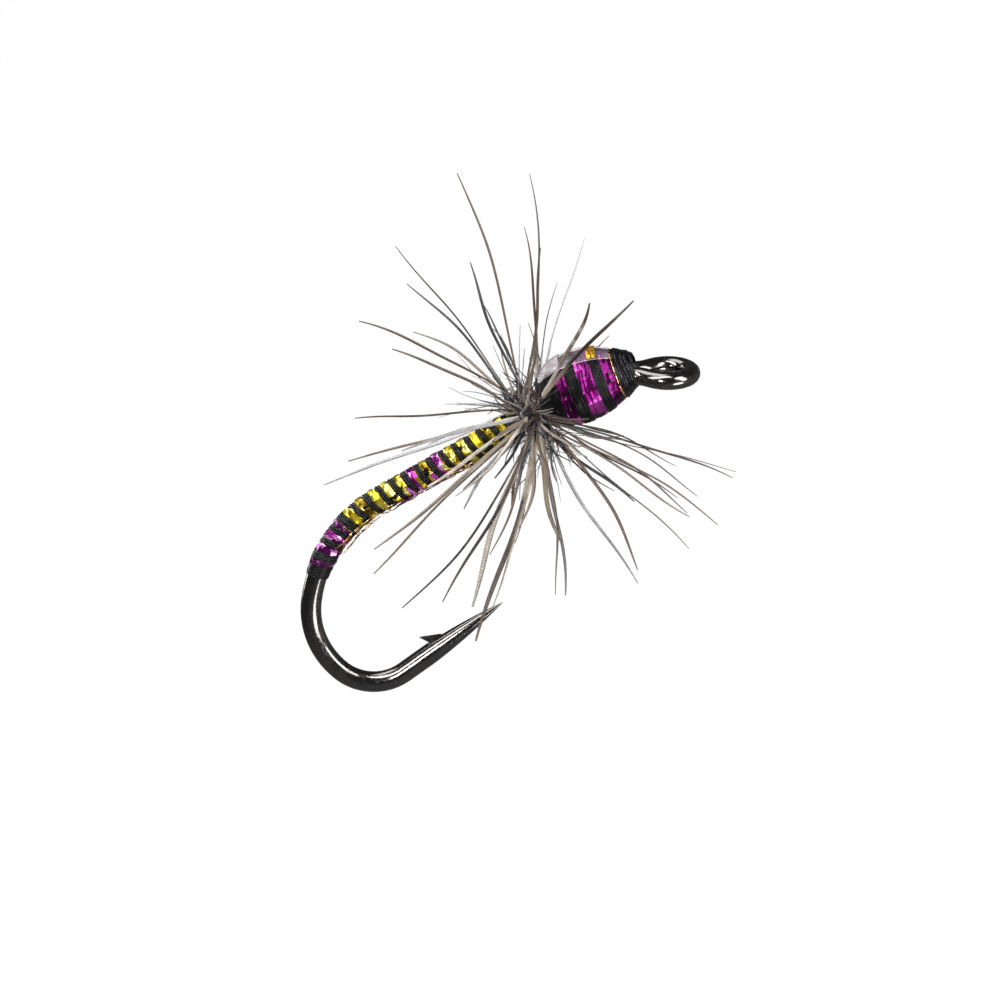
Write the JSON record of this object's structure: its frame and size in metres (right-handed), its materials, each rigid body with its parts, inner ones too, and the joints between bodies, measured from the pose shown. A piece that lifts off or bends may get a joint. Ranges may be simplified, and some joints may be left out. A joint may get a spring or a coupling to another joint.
{
  "type": "dry fly",
  "caption": "Small artificial fly on a barbed down-eye hook: ribbed tinsel body, soft feather hackle, wound thorax with a film wing case and a thread head.",
  "frame": {"origin": "centre of the hook eye's hole", "axes": "+X forward along the shank towards the leader, +Z from the point up to the shank, XZ is the plane of the bend"},
  "size_m": [0.0139, 0.0116, 0.0127],
  "materials": {
    "black_nickel": "polished black nickel",
    "black_thread": "waxed tying thread",
    "gold_tinsel": "metallic film",
    "magenta_tinsel": "metallic film",
    "orange_tinsel": "metallic film",
    "gold_wire": "fine drawn wire",
    "hackle_fibre": "soft game-bird feather",
    "feather_stem": "feather quill",
    "wing_film": "thin translucent film"
  },
  "bodies": {
    "root": {"body_frayed_wire": "gold_wire", "body_gold_tinsel": "gold_tinsel", "body_magenta_tinsel": "magenta_tinsel", "body_rib_thread": "black_thread", "body_underthread": "black_thread", "hackle_fibres_far": "hackle_fibre", "hackle_fibres_fore": "hackle_fibre", "hackle_fibres_lower": "hackle_fibre", "hackle_fibres_lower_rear": "hackle_fibre", "hackle_fibres_near": "hackle_fibre", "hackle_fibres_rear": "hackle_fibre", "hackle_fibres_upper": "hackle_fibre", "hackle_stem": "feather_stem", "hackle_web_fibres": "hackle_fibre", "head_thread": "black_thread", "hook": "black_nickel", "tail_thread_wrap": "black_thread", "thorax_floss_front": "black_thread", "thorax_floss_middle": "black_thread", "thorax_floss_rear": "black_thread", "thorax_gold_wire": "gold_wire", "thorax_orange_strip": "orange_tinsel", "thorax_thread_core": "black_thread", "thorax_tinsel_front": "magenta_tinsel", "thorax_tinsel_middle": "magenta_tinsel", "thorax_tinsel_rear": "magenta_tinsel", "whip_finish": "black_thread", "wing_case_film": "wing_film"}
  },
  "joints": []
}
